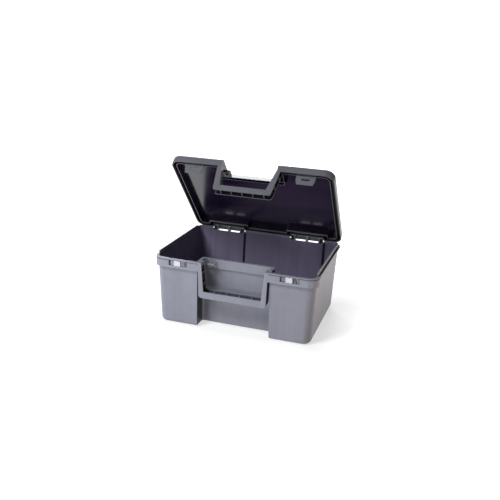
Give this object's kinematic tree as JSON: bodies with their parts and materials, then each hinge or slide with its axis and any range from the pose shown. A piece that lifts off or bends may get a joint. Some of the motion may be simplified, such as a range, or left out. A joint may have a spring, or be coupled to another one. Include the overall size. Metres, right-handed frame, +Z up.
{
  "type": "carpenter toolbox",
  "caption": "Moulded carry case for carpentry tools: deep tub, hinged shallow lid, grip formed by nesting half handles, sliding front latches, shown open.",
  "frame": {"origin": "middle of the flat underside", "axes": "+Z up, -Y towards the front with the latches, +X to the right seen from the front"},
  "size_m": [0.4, 0.2992, 0.3939],
  "materials": {
    "body_shell": "satin grey polypropylene",
    "lid_shell": "satin grey polypropylene",
    "hinge_pin_left": "drawn steel wire",
    "hinge_pin_right": "drawn steel wire",
    "latch_slider_left": "moulded grey",
    "latch_slider_right": "moulded grey",
    "latch_button_left": "pale glossy",
    "latch_button_right": "pale glossy",
    "latch_hook_left": "moulded dark grey",
    "latch_hook_right": "moulded dark grey"
  },
  "bodies": {
    "tub": {"body_shell": "body_shell", "hinge_pin_left": "hinge_pin_left", "hinge_pin_right": "hinge_pin_right"},
    "lid": {"lid_shell": "lid_shell"},
    "latch_left": {"latch_slider_left": "latch_slider_left", "latch_button_left": "latch_button_left", "latch_hook_left": "latch_hook_left"},
    "latch_right": {"latch_slider_right": "latch_slider_right", "latch_button_right": "latch_button_right", "latch_hook_right": "latch_hook_right"}
  },
  "joints": [
    {"name": "lid_hinge", "type": "hinge", "parent": "tub", "child": "lid", "pos_m": [0, 0.144, 0.1705], "axis": [-1, 0, 0], "range_deg": [-48, 47]},
    {"name": "latch_left_slide", "type": "slide", "parent": "tub", "child": "latch_left", "axis": [-1, 0, 0], "range_m": [0, 0.0045]},
    {"name": "latch_right_slide", "type": "slide", "parent": "tub", "child": "latch_right", "axis": [-1, 0, 0], "range_m": [0, 0.0045]}
  ]
}
